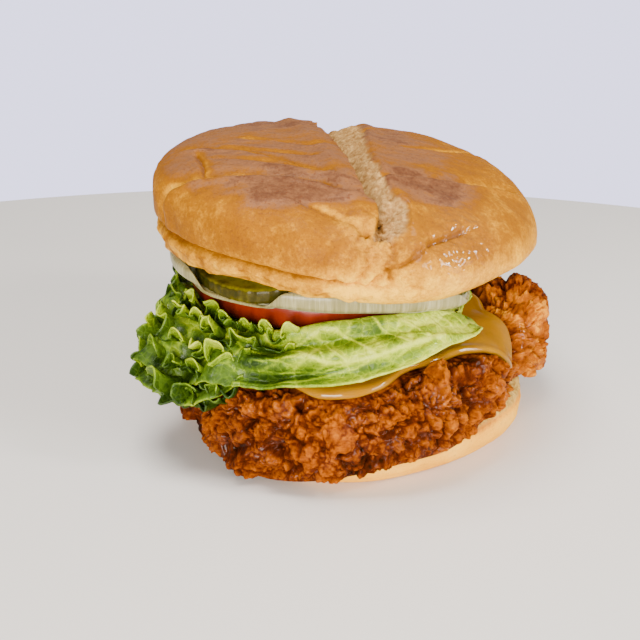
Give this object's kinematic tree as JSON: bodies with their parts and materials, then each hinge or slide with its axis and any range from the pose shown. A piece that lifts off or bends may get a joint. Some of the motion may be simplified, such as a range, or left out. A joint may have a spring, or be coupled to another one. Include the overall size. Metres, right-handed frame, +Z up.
{
  "type": "chicken burger",
  "caption": "Fried chicken burger: golden split-top bun over onion, pickle, tomato, frilly lettuce, melted cheese and a craggy fillet on its bun base",
  "frame": {"origin": "the middle of the bounding box's underside, on the flat base of the lower bun half", "axes": "+Z up through the stack, -Y towards the pictured front, +X to the picture's right"},
  "size_m": [0.1311, 0.1231, 0.0885],
  "materials": {
    "bun_heel": "soft baked crust, pale crumb on its cut face",
    "fried_crust": "crisp fried crust with an oily sheen",
    "melted_cheese": "smooth, softly glossy melted cheese",
    "lettuce_lower": "fresh leaf, waxy sheen",
    "lettuce_upper": "fresh leaf with pale ribs, waxy sheen",
    "tomato_flesh": "moist, glossy skin",
    "onion": "moist, translucent",
    "pickle_front": "moist, glossy skin",
    "pickle_right": "moist, glossy skin",
    "bun_crown": "baked crust with a buttery sheen, darker toasted top"
  },
  "bodies": {
    "root": {"bun_heel": "bun_heel", "fried_chicken": "fried_crust", "cheese_slice": "melted_cheese", "lettuce_lower": "lettuce_lower", "lettuce_upper": "lettuce_upper", "tomato_slice": "tomato_flesh", "onion_slice": "onion", "pickle_front": "pickle_front", "pickle_right": "pickle_right", "bun_crown": "bun_crown"}
  },
  "joints": []
}
